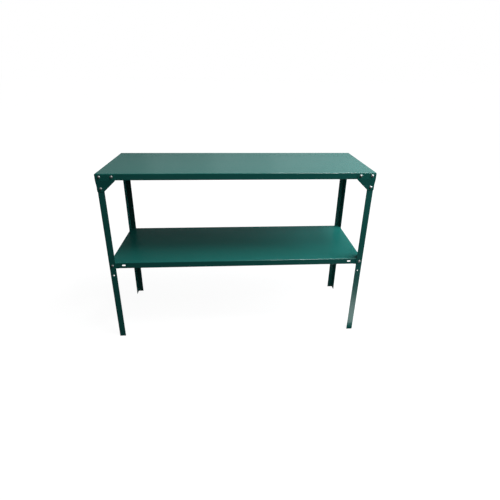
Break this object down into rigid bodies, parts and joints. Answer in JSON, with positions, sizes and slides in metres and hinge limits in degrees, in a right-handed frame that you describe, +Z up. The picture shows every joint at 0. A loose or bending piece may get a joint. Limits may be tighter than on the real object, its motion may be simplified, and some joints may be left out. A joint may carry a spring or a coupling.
{
  "type": "potting bench",
  "caption": "Two-tier steel potting bench: flanged top and lower trays bolted to angle legs, with gusset plates at the top corners.",
  "frame": {"origin": "on the floor, under the middle of the bench", "axes": "+X to the right along the bench, +Y to the back, +Z up; the front faces -Y"},
  "size_m": [1.0768, 0.3238, 0.766],
  "materials": {
    "painted_sheet": "satin dark green powder coat",
    "painted_angle": "satin dark green powder coat",
    "zinc": "bright zinc plate"
  },
  "bodies": {
    "root": {"top_tray": "painted_sheet", "lower_tray": "painted_sheet", "leg_front_left": "painted_angle", "leg_front_right": "painted_angle", "leg_back_left": "painted_angle", "leg_back_right": "painted_angle", "face_gusset_front_left": "painted_sheet", "face_gusset_front_right": "painted_sheet", "face_gusset_back_left": "painted_sheet", "face_gusset_back_right": "painted_sheet", "side_gusset_front_left": "painted_sheet", "side_gusset_front_right": "painted_sheet", "side_gusset_back_left": "painted_sheet", "side_gusset_back_right": "painted_sheet", "top_bolts_front_left": "zinc", "top_bolts_front_right": "zinc", "top_bolts_back_left": "zinc", "top_bolts_back_right": "zinc", "top_nuts_front_left": "zinc", "top_nuts_front_right": "zinc", "top_nuts_back_left": "zinc", "top_nuts_back_right": "zinc", "shelf_bolts_front_left": "zinc", "shelf_bolts_front_right": "zinc", "shelf_bolts_back_left": "zinc", "shelf_bolts_back_right": "zinc", "shelf_nuts_front_left": "zinc", "shelf_nuts_front_right": "zinc", "shelf_nuts_back_left": "zinc", "shelf_nuts_back_right": "zinc"}
  },
  "joints": []
}
